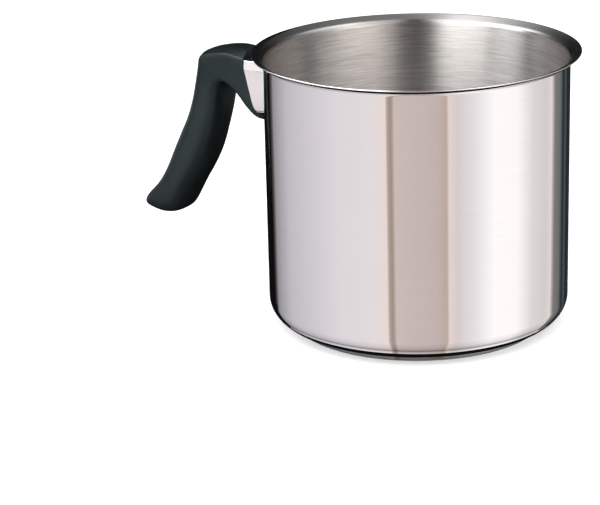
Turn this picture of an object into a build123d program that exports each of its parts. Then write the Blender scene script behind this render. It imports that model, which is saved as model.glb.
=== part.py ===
from build123d import *
import math
import os

# A milk pan: a deep drawn steel pot with a flared pouring rim and a sandwich base,
# and a moulded drop handle that a long screw draws against a steel ferrule.
# Millimetres. The origin is the centre of the face that the pan stands on, +Z is up,
# and the handle points along -X. "Reach" is a distance outwards from the pot's wall.

# Pot
pot_sheet = 0.8
inner_radius = 70.0
pan_height = 130.8
floor_inner_corner = 9.7
lip_overhang = 6.1
lip_bend_radius = 2.3
lip_slope_degrees = 62
lip_edge_round = 0.3

# Base
core_thickness = 2.4
cap_sheet = 0.5
base_inset = 0.2
base_edge_round = 1.2

# Ferrule, a polished sleeve between the wall and the handle
ferrule_sheet = 0.8
ferrule_width = 25.0
ferrule_height = 26.0
ferrule_below_rim = 12.5
ferrule_top_reach = 17.4
ferrule_foot_reach = 10.8
ferrule_end_round = 8.0
ferrule_bevel_width = 1.6
ferrule_bevel_height = 3.8
ferrule_bevel_round = 0.9
ferrule_foot_round = 2.5

# Handle
handle_step = 0.2
handle_reach = 83.4
handle_drop = 89.0
roof_below_rim = 8.3
roof_edge_depth = 2.0
web_corner = 2.6
web_foot = 0.4
spigot_reach = 9.5
spigot_clearance = 0.3
toe_reach = 5.0
toe_thickness = 2.4

# Screw, washer, nut and bracket
screw_below_ferrule_top = 7.3
screw_radius = 2.0
screw_tip_reach = 3.3
screw_head_radius = 3.6
screw_head_height = 2.5
screw_head_round = 1.1
screw_slot_width = 1.0
screw_slot_depth = 1.2
washer_thickness = 0.9
washer_width = 1.4
washer_gap = 0.8
washer_clearance = 0.15
bore_clearance = 0.25
recess_clearance = 0.6
recess_floor_reach = 41.9
thread_clearance = 0.05
nut_width = 7.0
nut_thickness = 3.2
nut_clearance = 0.15
bracket_sheet = 1.5
bracket_top_clearance = 1.0
bracket_side_clearance = 1.15
bracket_bend_round = 0.9

# A cut runs this far past what it cuts
overrun = 5.0

# Sizes and places that follow from the ones above
wall_radius = inner_radius + pot_sheet
rim_radius = inner_radius + lip_overhang
base_radius = wall_radius - floor_inner_corner - pot_sheet - base_inset
base_height = cap_sheet + core_thickness
floor_level = base_height + pot_sheet
ferrule_top = pan_height - ferrule_below_rim
ferrule_foot = ferrule_top - ferrule_height
roof_level = pan_height - roof_below_rim
web_drop = roof_level - ferrule_foot + toe_thickness
handle_width = ferrule_width - 2 * handle_step
screw_level = ferrule_top - screw_below_ferrule_top
bore_radius = screw_radius + bore_clearance
head_reach = recess_floor_reach + washer_thickness
bracket_height = 2 * (screw_below_ferrule_top - ferrule_sheet - bracket_top_clearance)
bracket_reach = spigot_reach - spigot_clearance
nut_reach = bracket_reach - bracket_sheet - nut_thickness

# Local x runs outwards along the handle and local y runs up
side_plane = Plane(origin=(0, 0, 0), x_dir=(-1, 0, 0), z_dir=(0, 1, 0))

# The handle's outline as stations that fan round the inner arch: the outer point and the
# inner point as reach and depth below the roof, then the section there.
# Reach is in shares of handle_reach, the half width and the fall of the roof's bevel in
# shares of handle_width, and the last column goes from 0, a bevelled roof section, to 1,
# a round grip section. Depth is in shares of web_drop over the ferrule and the arch.
arch_station_shares = [
    (0.027, 0.000, -0.034, 0.999, 0.496, 0.21, 0.00),
    (0.111, 0.000, 0.043, 0.996, 0.496, 0.20, 0.00),
    (0.198, 0.003, 0.124, 0.988, 0.496, 0.17, 0.00),
    (0.270, 0.003, 0.191, 0.860, 0.493, 0.12, 0.00),
    (0.352, 0.001, 0.253, 0.674, 0.487, 0.08, 0.00),
    (0.447, 0.043, 0.312, 0.549, 0.483, 0.07, 0.04),
    (0.532, 0.114, 0.358, 0.521, 0.480, 0.07, 0.16),
    (0.556, 0.266, 0.389, 0.603, 0.472, 0.08, 0.45),
]
# Down the grip to the heel, depth is in shares of handle_drop
grip_station_shares = [
    (0.584, 0.193, 0.405, 0.284, 0.466, 0.09, 0.78),
    (0.616, 0.305, 0.423, 0.378, 0.463, 0.10, 0.96),
    (0.656, 0.409, 0.456, 0.488, 0.462, 0.10, 1.00),
    (0.711, 0.509, 0.496, 0.604, 0.462, 0.10, 1.00),
    (0.765, 0.611, 0.556, 0.715, 0.462, 0.10, 1.00),
    (0.815, 0.711, 0.625, 0.815, 0.462, 0.10, 1.00),
    (0.871, 0.799, 0.676, 0.898, 0.462, 0.10, 1.00),
    (0.930, 0.862, 0.714, 0.957, 0.459, 0.10, 1.00),
    (0.978, 0.907, 0.755, 0.987, 0.444, 0.10, 1.00),
    (1.002, 0.952, 0.803, 0.998, 0.383, 0.10, 1.00),
    (0.950, 0.984, 0.873, 1.000, 0.190, 0.10, 1.00),
]

# The right half of a section, from the middle of the top to the middle of the bottom:
# how far each point is to the side, in shares of the half width, and how far it is down,
# in shares of the bevel's fall and then of the half depth
roof_side_shares = (0.0, 0.36, 0.68, 0.93, 0.99, 1.0, 1.0, 1.0, 0.98, 0.86, 0.45, 0.0)
roof_bevel_shares = (0.0, 0.0, 0.52, 0.95)
roof_side_height_shares = (0.30, 0.0, -0.40)
# The grip's section is a rounded oblong, at these angles above and below its middle
grip_angles = (90, 70, 53, 37, 24, 12, 0, -14, -30, -50, -70, -90)
grip_roundness = 2.8


def handle_point(reach, depth):
    """A point of the handle's outline, in its middle plane."""
    return Vector(-wall_radius - reach, 0, roof_level - depth)


def half_section(half_width, half_depth, bevel, grip_share):
    """Points of a section's right half, from the middle of its top to that of its bottom."""
    roof_heights = [half_depth - share * bevel for share in roof_bevel_shares]
    roof_heights.append(roof_heights[-1] - roof_edge_depth)
    roof_heights += [half_depth * share for share in roof_side_height_shares]
    roof_heights += [web_corner - half_depth, web_foot - half_depth, -half_depth, -half_depth]
    power = 2 / grip_roundness
    points = []
    for side, height, angle in zip(roof_side_shares, roof_heights, grip_angles):
        cosine = math.cos(math.radians(angle))
        sine = math.sin(math.radians(angle))
        grip_side = abs(cosine) ** power
        grip_height = math.copysign(abs(sine) ** power, sine) * half_depth
        across = side + (grip_side - side) * grip_share
        along = height + (grip_height - height) * grip_share
        points.append((across * half_width, along))
    return points


def section_wire(station, drop):
    """One closed section of the handle, across the line from its inner to its outer point."""
    out_reach, out_depth, in_reach, in_depth, half_share, bevel_share, grip_share = station
    outer = handle_point(out_reach * handle_reach, out_depth * drop)
    inner = handle_point(in_reach * handle_reach, in_depth * drop)
    middle = (outer + inner) / 2
    up = (outer - inner).normalized()
    down = -up
    half = half_section(
        half_share * handle_width,
        (outer - inner).length / 2,
        bevel_share * handle_width,
        grip_share,
    )
    right = [middle + up * along + Vector(0, across, 0) for across, along in half]
    left = [middle + up * along - Vector(0, across, 0) for across, along in half]
    side = grip_angles.index(0)
    to_right = Vector(0, 1, 0)
    to_left = -to_right
    return Wire(
        [
            Spline(*right[: side + 1], tangents=(to_right, down)),
            Spline(*right[side:], tangents=(down, to_left)),
            Spline(*reversed(left[side:]), tangents=(to_left, up)),
            Spline(*reversed(left[: side + 1]), tangents=(up, to_right)),
        ]
    )


def ferrule_side():
    """The ferrule seen from the side, with its slanted outer end, run on past roof and wall."""
    start = wall_radius - overrun
    high = roof_level + overrun
    foot = wall_radius + ferrule_foot_reach
    slant = (ferrule_top_reach - ferrule_foot_reach) / ferrule_height
    with BuildSketch(side_plane) as sketch:
        with BuildLine():
            Polyline(
                (start, ferrule_foot),
                (foot, ferrule_foot),
                (foot + (high - ferrule_foot) * slant, high),
                (start, high),
                close=True,
            )
        make_face()
        fillet(sketch.vertices().group_by(Axis.Y)[0].sort_by(Axis.X)[-1], ferrule_end_round)
    return sketch.sketch


def ferrule_section(inset):
    """The ferrule's section across its length, made smaller all round by inset."""
    half = ferrule_width / 2
    shoulder = half - ferrule_bevel_width
    with BuildSketch(Plane(origin=(0, 0, 0), x_dir=(0, 1, 0), z_dir=(1, 0, 0))) as sketch:
        with BuildLine():
            Polyline(
                (-half, ferrule_foot),
                (half, ferrule_foot),
                (half, ferrule_top - ferrule_bevel_height),
                (shoulder, ferrule_top),
                (-shoulder, ferrule_top),
                (-half, ferrule_top - ferrule_bevel_height),
                close=True,
            )
        make_face()
        fillet(sketch.vertices().group_by(Axis.Y)[0], ferrule_foot_round)
        by_height = sketch.vertices().group_by(Axis.Y)
        fillet(by_height[-1] + by_height[-2], ferrule_bevel_round)
        if inset > 0:
            offset(amount=-inset, mode=Mode.REPLACE)
    return sketch.sketch


def radial_bar(section, start_reach, end_reach):
    """A section of the ferrule or spigot, run outwards along the handle."""
    length = end_reach - start_reach
    bar = extrude(section, amount=length)
    return Pos(-(wall_radius + end_reach), 0, 0) * bar


def along_screw(radius, start_reach, end_reach):
    """A cylinder on the screw's axis between two reaches."""
    length = end_reach - start_reach
    middle = wall_radius + (start_reach + end_reach) / 2
    return Pos(-middle, 0, screw_level) * Rot(0, 90, 0) * Cylinder(radius, length)


def pot_wall():
    return Pos(0, 0, pan_height / 2) * Cylinder(wall_radius, pan_height + overrun)


def make_pot_body():
    """The drawn pot: flat floor, round corner, straight wall and a flared lip."""
    slope = math.radians(lip_slope_degrees)
    outer_bend = lip_bend_radius - pot_sheet
    bend_centre = inner_radius + lip_bend_radius
    lip_length = (rim_radius - bend_centre + outer_bend * math.cos(slope)) / math.sin(slope)
    bend_level = (
        pan_height - lip_bend_radius * math.sin(slope) - lip_length * math.cos(slope)
    )

    def on_bend(radius, angle):
        return (bend_centre - radius * math.cos(angle), bend_level + radius * math.sin(angle))

    def on_lip(radius):
        start = on_bend(radius, slope)
        return (
            start[0] + lip_length * math.sin(slope),
            start[1] + lip_length * math.cos(slope),
        )

    outer_corner = floor_inner_corner + pot_sheet
    with BuildSketch(Plane.XZ) as profile:
        with BuildLine():
            Line((0, base_height), (wall_radius - outer_corner, base_height))
            JernArc((wall_radius - outer_corner, base_height), (1, 0), outer_corner, 90)
            Line((wall_radius, base_height + outer_corner), (wall_radius, bend_level))
            ThreePointArc(
                (wall_radius, bend_level), on_bend(outer_bend, slope / 2), on_bend(outer_bend, slope)
            )
            Line(on_bend(outer_bend, slope), on_lip(outer_bend))
            Line(on_lip(outer_bend), on_lip(lip_bend_radius))
            Line(on_lip(lip_bend_radius), on_bend(lip_bend_radius, slope))
            ThreePointArc(
                on_bend(lip_bend_radius, slope),
                on_bend(lip_bend_radius, slope / 2),
                (inner_radius, bend_level),
            )
            Line((inner_radius, bend_level), (inner_radius, floor_level + floor_inner_corner))
            JernArc(
                (inner_radius, floor_level + floor_inner_corner), (0, -1), floor_inner_corner, -90
            )
            Line((inner_radius - floor_inner_corner, floor_level), (0, floor_level))
            Line((0, floor_level), (0, base_height))
        make_face()
        fillet(profile.vertices().sort_by(Axis.X)[-2:], lip_edge_round)
    return revolve(profile.sketch, axis=Axis.Z)


def make_base_core():
    """The aluminium disc that spreads the heat, with its lower edge rounded."""
    disc = Pos(0, 0, cap_sheet + core_thickness / 2) * Cylinder(
        base_radius - cap_sheet, core_thickness
    )
    return fillet(disc.edges().sort_by(Axis.Z)[0], base_edge_round - cap_sheet)


def make_base_cap(core):
    """The steel capsule that wraps the disc's underside and its edge."""
    disc = Pos(0, 0, base_height / 2) * Cylinder(base_radius, base_height)
    return fillet(disc.edges().sort_by(Axis.Z)[0], base_edge_round) - core


def make_ferrule():
    """A sleeve whose inner end fits the round wall and whose outer end is slanted."""
    end_reach = ferrule_top_reach + overrun
    sleeve = radial_bar(ferrule_section(0), -overrun, end_reach) - radial_bar(
        ferrule_section(ferrule_sheet), -2 * overrun, end_reach + overrun
    )
    side = extrude(ferrule_side(), amount=ferrule_width, both=True)
    return (sleeve & side) - pot_wall()


def make_handle_bracket():
    """A stamped hat: two feet welded to the wall, two cheeks and a drilled front."""
    cheek = nut_width / 2 + nut_clearance + bracket_sheet
    foot = ferrule_width / 2 - ferrule_sheet - bracket_side_clearance
    reach = bracket_reach / 2
    outer = Box(bracket_reach, 2 * cheek, bracket_height)
    outer = fillet(outer.edges().filter_by(Axis.Z).group_by(Axis.X)[0], bracket_bend_round)
    inner = Pos(bracket_sheet, 0, 0) * Box(
        bracket_reach, 2 * (cheek - bracket_sheet), bracket_height + overrun
    )
    front = Pos(-wall_radius - reach, 0, 0) * outer
    front += Pos(-wall_radius + overrun / 2, 0, 0) * Box(overrun, 2 * cheek, bracket_height)
    front -= Pos(-wall_radius - reach, 0, 0) * inner
    front -= Pos(-wall_radius + overrun / 2, 0, 0) * Box(
        2 * overrun, 2 * (cheek - bracket_sheet), bracket_height + overrun
    )
    shell = Cylinder(wall_radius + bracket_sheet, bracket_height)
    slot = Pos(-wall_radius, 0, 0) * Box(
        2 * overrun, 2 * (cheek - bracket_sheet), bracket_height + overrun
    )
    feet = shell & Pos(-wall_radius, 0, 0) * Box(2 * overrun, 2 * foot, bracket_height)
    hat = Pos(0, 0, screw_level) * (front + (feet - slot))
    return hat - pot_wall() - along_screw(bore_radius, 0, bracket_reach + overrun)


def make_bracket_nut():
    """A square nut that the cheeks keep from turning."""
    middle = wall_radius + nut_reach + nut_thickness / 2
    block = Pos(-middle, 0, screw_level) * Box(nut_thickness, nut_width, nut_width)
    return block - along_screw(screw_radius + thread_clearance, 0, bracket_reach + overrun)


def make_handle_grip():
    """The moulded handle: roof, web, arch, grip and heel, with its spigot and screw bore."""
    sections = [section_wire(station, web_drop) for station in arch_station_shares]
    sections += [section_wire(station, handle_drop) for station in grip_station_shares]
    body = Solid.make_loft(sections)
    joint = extrude(ferrule_side(), amount=handle_width, both=True)
    toe_cut = Pos(-(wall_radius + toe_reach) / 2, 0, ferrule_foot) * Box(
        wall_radius + toe_reach, 2 * handle_width, 2 * ferrule_height
    )
    inside = ferrule_section(ferrule_sheet + spigot_clearance)
    spigot = radial_bar(inside, spigot_reach, ferrule_top_reach + overrun) & joint
    grip = (body - joint - toe_cut) + spigot
    grip -= along_screw(bore_radius, 0, recess_floor_reach + overrun)
    grip -= along_screw(
        screw_head_radius + recess_clearance, recess_floor_reach, handle_reach
    )
    return grip


def make_lock_washer():
    """A split ring under the screw's head."""
    bore = screw_radius + washer_clearance
    ring = along_screw(bore + washer_width, recess_floor_reach, head_reach)
    ring -= along_screw(bore, 0, head_reach + overrun)
    middle = wall_radius + recess_floor_reach
    split = Pos(-middle, 0, screw_level - bore - washer_width) * Box(
        2 * overrun, washer_gap, 2 * (washer_width + washer_gap)
    )
    return ring - split


def make_handle_screw():
    """A slotted pan head screw that runs through the handle into the nut."""
    shank = along_screw(screw_radius, screw_tip_reach, head_reach)
    head = along_screw(screw_head_radius, head_reach, head_reach + screw_head_height)
    head = fillet(head.edges().sort_by(Axis.X)[0], screw_head_round)
    slot_reach = head_reach + screw_head_height
    slot = Pos(-wall_radius - slot_reach, 0, screw_level) * Box(
        2 * screw_slot_depth, screw_slot_width, 4 * screw_head_radius
    )
    return (head - slot) + shank


def main():
    core = make_base_core()
    pieces = {
        "pot_body": make_pot_body(),
        "base_core": core,
        "base_cap": make_base_cap(core),
        "ferrule": make_ferrule(),
        "handle_bracket": make_handle_bracket(),
        "bracket_nut": make_bracket_nut(),
        "handle_grip": make_handle_grip(),
        "lock_washer": make_lock_washer(),
        "handle_screw": make_handle_screw(),
    }
    os.makedirs("parts", exist_ok=True)
    for name, piece in pieces.items():
        export_step(piece, "parts/" + name + ".step")
        print(name, len(piece.solids()), "solid,", round(piece.volume), "mm3")


main()
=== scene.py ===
# %% [markdown]
# # A polished steel milk pan
# This lesson dresses a milk pan whose solids come from a CAD model. The pan is a tall deep
# drawn steel pot with a flared pouring rim and a sandwich base. A black moulded handle hangs
# from a polished steel ferrule at its side. We load the solids as a fixed frame, build
# smoother pieces over the ones that show, give each surface its real finish, and light the
# pan as a studio does. Lengths are in metres, +Z is up, and the handle points along -X.

# %% Load the frame and measure it
import math

import bmesh
import bpy
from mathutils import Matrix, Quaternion, Vector


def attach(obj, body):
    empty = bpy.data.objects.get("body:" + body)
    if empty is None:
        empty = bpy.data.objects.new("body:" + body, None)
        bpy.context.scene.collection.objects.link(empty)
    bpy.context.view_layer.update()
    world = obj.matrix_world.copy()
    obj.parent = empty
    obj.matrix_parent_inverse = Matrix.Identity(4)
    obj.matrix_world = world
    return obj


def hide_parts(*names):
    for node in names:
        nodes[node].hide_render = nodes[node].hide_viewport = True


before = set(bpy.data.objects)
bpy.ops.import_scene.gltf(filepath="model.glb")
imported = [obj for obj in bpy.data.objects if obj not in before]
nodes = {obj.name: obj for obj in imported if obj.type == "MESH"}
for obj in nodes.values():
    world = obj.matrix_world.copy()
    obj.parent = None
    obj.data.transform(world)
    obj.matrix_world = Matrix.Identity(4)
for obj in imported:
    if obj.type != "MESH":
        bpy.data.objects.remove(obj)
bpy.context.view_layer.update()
BODY = "root"
MM = 0.001
print("the frame holds", len(nodes), "solids:", ", ".join(sorted(nodes)))


# %% [markdown]
# ## Working by hand, in code
# A maker selects something and then uses a tool on it. An operator acts on all that is
# selected, so each step first clears the selection. These helpers do that, and they store
# a finished piece: named, riding on the pan's body, and with its place in its mesh.

# %% Helpers for selecting and for finished pieces
def clear_selection():
    if bpy.context.object and bpy.context.object.mode != "OBJECT":
        bpy.ops.object.mode_set(mode="OBJECT")
    bpy.ops.object.select_all(action="DESELECT")


def only(piece):
    """Makes piece the one selected and active object."""
    clear_selection()
    piece.select_set(True)
    bpy.context.view_layer.objects.active = piece


def edit_all():
    """Opens the active object's mesh with all of it selected."""
    bpy.ops.object.mode_set(mode="EDIT")
    bpy.ops.mesh.select_all(action="SELECT")


def close_shell():
    """Turns all faces of the open mesh outwards and leaves it."""
    bpy.ops.mesh.select_all(action="SELECT")
    bpy.ops.mesh.normals_make_consistent(inside=False)
    bpy.ops.object.mode_set(mode="OBJECT")


def settle(piece):
    """Moves the object's place, turn and scale into its mesh."""
    only(piece)
    bpy.ops.object.transform_apply(location=True, rotation=True, scale=True)


def apply_modifier(piece, kind, **settings):
    """Adds one modifier, sets it up and applies it."""
    only(piece)
    modifier = piece.modifiers.new(kind.title(), kind)
    for name, value in settings.items():
        setattr(modifier, name, value)
    bpy.ops.object.modifier_apply(modifier=modifier.name)


def smooth(piece, degrees):
    only(piece)
    bpy.ops.object.shade_smooth_by_angle(angle=math.radians(degrees))


def keep(piece, name, slot, *replaced):
    """Names a finished piece, ties it to the body and hides the solids it replaces; slot is not
    used.
    """
    piece.name = name
    piece.data.name = name
    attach(piece, BODY)
    if replaced:
        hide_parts(*replaced)
    print(name, "has", len(piece.data.polygons), "faces")


# %% [markdown]
# ## The camera
# The picture was taken with a long lens from a little above, with the handle at the left.
# The camera stands on a sphere round the pan and looks past it at a point down to the left,
# which puts the pan in the upper right of the frame.

# %% Place the camera
VIEW_AZIMUTH = math.radians(29.28)
VIEW_ELEVATION = math.radians(17.22)
VIEW_ROLL = math.radians(-1.54)
VIEW_DISTANCE = 1.0540
VIEW_CENTRE = Vector((0, 0, 0.0607))
AIM_RIGHT = -0.05544
AIM_UP = -0.02674
LENS = 134.36

to_camera = Vector(
    (
        math.sin(VIEW_AZIMUTH) * math.cos(VIEW_ELEVATION),
        -math.cos(VIEW_AZIMUTH) * math.cos(VIEW_ELEVATION),
        math.sin(VIEW_ELEVATION),
    )
)
view_right = Vector((math.cos(VIEW_AZIMUTH), math.sin(VIEW_AZIMUTH), 0))
view_up = to_camera.cross(view_right)
camera_place = VIEW_CENTRE + to_camera * VIEW_DISTANCE
aim = VIEW_CENTRE + view_right * AIM_RIGHT + view_up * AIM_UP

camera_data = bpy.data.cameras.new("camera")
camera_data.lens = LENS
camera_data.sensor_width = 36
camera_data.clip_start = 0.01
camera_data.clip_end = 50
camera = bpy.data.objects.new("camera", camera_data)
bpy.context.scene.collection.objects.link(camera)
camera.location = camera_place
look = (aim - camera_place).to_track_quat("-Z", "Y")
camera.rotation_euler = (look @ Quaternion((0, 0, 1), VIEW_ROLL)).to_euler()
bpy.context.scene.camera = camera
print("the camera is", round(camera_place.length, 3), "m from the origin")


# %% [markdown]
# ## Materials from nodes
# Every finish here is a Principled shader with a few texture nodes. The texture is read at
# Object coordinates, which are real positions on the pan, so a brush line or a grain has its
# true size. A small helper keeps the node code short.

# %% A helper for node materials
def colour_ramp(tree, source, stops):
    """Maps 0..1 to colours; each stop is a place and a grey or a colour."""
    node = tree.nodes.new("ShaderNodeValToRGB")
    tree.links.new(source, node.inputs["Fac"])
    elements = node.color_ramp.elements
    while len(elements) < len(stops):
        elements.new(0.5)
    for element, (place, colour) in zip(elements, stops):
        element.position = place
        grey = isinstance(colour, (int, float))
        element.color = (colour,) * 3 + (1,) if grey else tuple(colour) + (1,)
    return node.outputs["Color"]


class Finish:
    """A material with one Principled shader and short ways to add and link nodes."""

    def __init__(self, name):
        self.material = bpy.data.materials.new(name)
        self.material.use_nodes = True
        self.tree = self.material.node_tree
        self.shader = self.tree.nodes["Principled BSDF"]
        self.place = self.add("ShaderNodeTexCoord").outputs["Object"]

    def add(self, kind, **settings):
        node = self.tree.nodes.new(kind)
        for name, value in settings.items():
            setattr(node, name, value)
        return node

    def link(self, source, target):
        self.tree.links.new(source, target)

    def put(self, **values):
        """Sets constants on the shader's own sockets."""
        for name, value in values.items():
            self.shader.inputs[name.replace("_", " ")].default_value = value

    def math(self, operation, first, second):
        node = self.add("ShaderNodeMath", operation=operation)
        for socket, value in zip(node.inputs, (first, second)):
            if isinstance(value, (int, float)):
                socket.default_value = value
            else:
                self.link(value, socket)
        return node.outputs[0]

    def stretched(self, scale):
        """The place, scaled differently along each axis."""
        node = self.add("ShaderNodeVectorMath", operation="MULTIPLY")
        self.link(self.place, node.inputs[0])
        node.inputs[1].default_value = scale
        return node.outputs[0]

    def noise(self, source, scale, detail=3.0, roughness=0.5):
        node = self.add("ShaderNodeTexNoise")
        self.link(source, node.inputs["Vector"])
        node.inputs["Scale"].default_value = scale
        node.inputs["Detail"].default_value = detail
        node.inputs["Roughness"].default_value = roughness
        return node.outputs["Fac"]

    def blend(self, first, share, second):
        """The mean of two values, where share is the weight of the first."""
        return self.math(
            "ADD", self.math("MULTIPLY", first, share), self.math("MULTIPLY", second, 1 - share)
        )

    def drive(self, socket, source, low, high):
        """Lets source, from 0 to 1, move one of the shader's inputs from low to high."""
        rise = self.math("MULTIPLY", source, high - low)
        self.link(self.math("ADD", rise, low), self.shader.inputs[socket])

    def colour(self, source, darker, lighter, reach=0.2):
        """Lets source move the base colour between two; reach is how far from its middle."""
        stops = [(0.5 - reach, darker), (0.5 + reach, lighter)]
        self.link(colour_ramp(self.tree, source, stops), self.shader.inputs["Base Color"])

    def bump(self, height, distance, strength, normal=None):
        node = self.add("ShaderNodeBump")
        node.inputs["Strength"].default_value = strength
        node.inputs["Distance"].default_value = distance
        self.link(height, node.inputs["Height"])
        if normal:
            self.link(normal, node.inputs["Normal"])
        return node.outputs["Normal"]

    def radius(self):
        """Distance from the pot's axis."""
        flat = self.stretched((1, 1, 0))
        node = self.add("ShaderNodeVectorMath", operation="LENGTH")
        self.link(flat, node.inputs[0])
        return node.outputs["Value"]

    def rings(self, across, along):
        """A place that changes fast up the wall and out over the floor, slowly around."""
        split = self.add("ShaderNodeSeparateXYZ")
        self.link(self.place, split.inputs[0])
        height = self.math("ADD", split.outputs["Z"], self.radius())
        join = self.add("ShaderNodeCombineXYZ")
        self.link(self.math("MULTIPLY", split.outputs["X"], along), join.inputs["X"])
        self.link(self.math("MULTIPLY", split.outputs["Y"], along), join.inputs["Y"])
        self.link(self.math("MULTIPLY", height, across), join.inputs["Z"])
        return join.outputs[0]

    def round_brushing(self, amount):
        """Stretches reflections across brush lines that run round the pot's axis."""
        tangent = self.add("ShaderNodeTangent", direction_type="RADIAL", axis="Z")
        self.link(tangent.outputs[0], self.shader.inputs["Tangent"])
        self.put(Anisotropic=amount, Anisotropic_Rotation=0.25)


# %% [markdown]
# ## Steel finishes
# The outside is buffed to a mirror. Even a mirror finish on drawn steel has hairlines from
# the buffing wheel and a very slight waviness, which bends reflections a little. The inside
# is satin: an abrasive belt has run round and round, so the lines lie level on the wall and
# in circles on the floor, and highlights spread across them.

# %% Polished and satin steel
def shade_of(colour, share):
    """The colour made darker or lighter."""
    return [min(part * share, 1) for part in colour]


def polished_steel(name, colour, roughness):
    steel = Finish(name)
    steel.put(Metallic=1.0)
    hairlines = steel.noise(steel.rings(2200, 16), 1.0, 3.0, 0.6)
    patches = steel.noise(steel.place, 26, 3.0)
    shade = steel.blend(hairlines, 0.7, patches)
    steel.colour(shade, shade_of(colour, 0.97), shade_of(colour, 1.015), 0.15)
    steel.drive("Roughness", hairlines, roughness * 0.75, roughness * 1.25)
    wave = steel.noise(steel.stretched((1, 1, 0.35)), 34, 1.0)
    normal = steel.bump(wave, 0.00006, 0.5)
    fine = steel.bump(hairlines, 0.000002, 0.4, normal)
    steel.link(fine, steel.shader.inputs["Normal"])
    return steel.material


def satin_steel(name, colour, roughness, brushing):
    steel = Finish(name)
    steel.put(Metallic=1.0)
    steel.round_brushing(brushing)
    lines = steel.noise(steel.rings(1900, 60), 1.0, 4.0, 0.62)
    bands = steel.noise(steel.rings(420, 9), 1.0, 2.0)
    shade = steel.blend(lines, 0.85, bands)
    steel.colour(shade, shade_of(colour, 0.76), shade_of(colour, 1.18), 0.16)
    steel.drive("Roughness", shade, roughness * 0.75, roughness * 1.25)
    steel.link(steel.bump(lines, 0.00001, 0.5), steel.shader.inputs["Normal"])
    return steel.material


# Name, colour and mean roughness, then how strongly the brush lines stretch the light
outside_polish = polished_steel("outside_polish", (0.88, 0.86, 0.86), 0.022)
flare_polish = polished_steel("flare_polish", (0.84, 0.83, 0.82), 0.16)
inside_satin = satin_steel("inside_satin", (0.80, 0.775, 0.76), 0.37, 1.0)
cap_satin = satin_steel("cap_satin", (0.80, 0.79, 0.79), 0.14, 0.5)
ferrule_polish = polished_steel("ferrule_polish", (0.93, 0.895, 0.90), 0.13)


# %% [markdown]
# ## The pot
# A deep drawn pot is a body of revolution. Its wall's section is drawn as a chain of
# extruded vertices, outside and inside, and spun once round the axis. The lip's edge is
# fully rounded here, because a cut edge on a pan is always rolled or polished blunt.

# %% Draw a section and spin it
def arc(centre, radius, start, end, steps):
    """Points on an arc in the section plane; angles in degrees from outwards, towards up."""
    points = []
    for step in range(steps + 1):
        angle = math.radians(start + (end - start) * step / steps)
        across, along = radius * math.cos(angle), radius * math.sin(angle)
        points.append((centre[0] + across, centre[1] + along))
    return points


def on_line(start, end, share):
    """The point a share of the way from start to end."""
    return tuple(a + (b - a) * share for a, b in zip(start, end))


def straight(start, end, steps):
    """Points that divide a line into steps, without its ends."""
    return [on_line(start, end, step / steps) for step in range(1, steps)]


def spun(section, steps):
    """Spins a section, a list of (radius, height), round the Z axis into a closed shell."""
    clear_selection()
    first = section[0]
    bpy.ops.mesh.primitive_plane_add(size=0.001, location=(first[0], 0, first[1]))
    piece = bpy.context.object
    settle(piece)
    edit_all()
    bpy.ops.mesh.merge(type="CENTER")
    for before, after in zip(section, section[1:]):
        move = (after[0] - before[0], 0, after[1] - before[1])
        bpy.ops.mesh.extrude_region_move(TRANSFORM_OT_translate={"value": move})
    bpy.ops.mesh.select_all(action="SELECT")
    bpy.ops.mesh.spin(steps=steps, angle=math.tau, center=(0, 0, 0), axis=(0, 0, 1))
    bpy.ops.mesh.select_all(action="SELECT")
    bpy.ops.mesh.remove_doubles(threshold=0.000002)
    close_shell()
    return piece


# %% [markdown]
# The pot's sizes repeat the CAD model's. The flare bends out from the wall on a small arc
# and runs on to its edge, so that milk pours off without dribbling. Its upper face is
# pressed into a soft bell, which the light shows as a gradient and not as a flat band. A
# quadratic curve between two slopes draws it.

# %% The pot's section
SHEET = 0.8 * MM
INNER_RADIUS = 70.0 * MM
PAN_HEIGHT = 130.8 * MM
FLOOR_CORNER = 9.7 * MM
RIM_RADIUS = 76.1 * MM
LIP_BEND = 2.3 * MM
LIP_SLOPE = 62
BASE_HEIGHT = 2.9 * MM
CAP_RADIUS = 60.1 * MM
CAP_ROUND = 1.2 * MM
CAP_BEVEL = 0.25 * MM
CORNER_LOOP_GAP = 4 * MM
WALL_STEPS = 8
ROUND_STEPS = 200

slope = math.radians(LIP_SLOPE)
out_bend = LIP_BEND - SHEET
bend_radius = INNER_RADIUS + LIP_BEND
lip_length = (RIM_RADIUS - bend_radius + out_bend * math.cos(slope)) / math.sin(slope)
bend_level = PAN_HEIGHT - LIP_BEND * math.sin(slope) - lip_length * math.cos(slope)
wall_radius = INNER_RADIUS + SHEET
floor_level = BASE_HEIGHT + SHEET
corner_radius = wall_radius - FLOOR_CORNER - SHEET
corner_level = BASE_HEIGHT + FLOOR_CORNER + SHEET

half_sheet = SHEET / 2
mid_bend = LIP_BEND - half_sheet
edge_run = lip_length - half_sheet
edge_centre = (
    bend_radius - mid_bend * math.cos(slope) + edge_run * math.sin(slope),
    bend_level + mid_bend * math.sin(slope) + edge_run * math.cos(slope),
)


def bell(start, start_slope, end, end_slope, steps):
    """Points on a curve between two places; its slopes there are in degrees from vertical."""
    first, last = math.radians(start_slope), math.radians(end_slope)
    run, rise = end[0] - start[0], end[1] - start[1]
    along = (run * math.cos(last) - rise * math.sin(last)) / math.sin(first - last)
    corner = (start[0] + along * math.sin(first), start[1] + along * math.cos(first))
    shares = [step / steps for step in range(steps + 1)]
    return [on_line(on_line(start, corner, t), on_line(corner, end, t), t) for t in shares]


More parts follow.
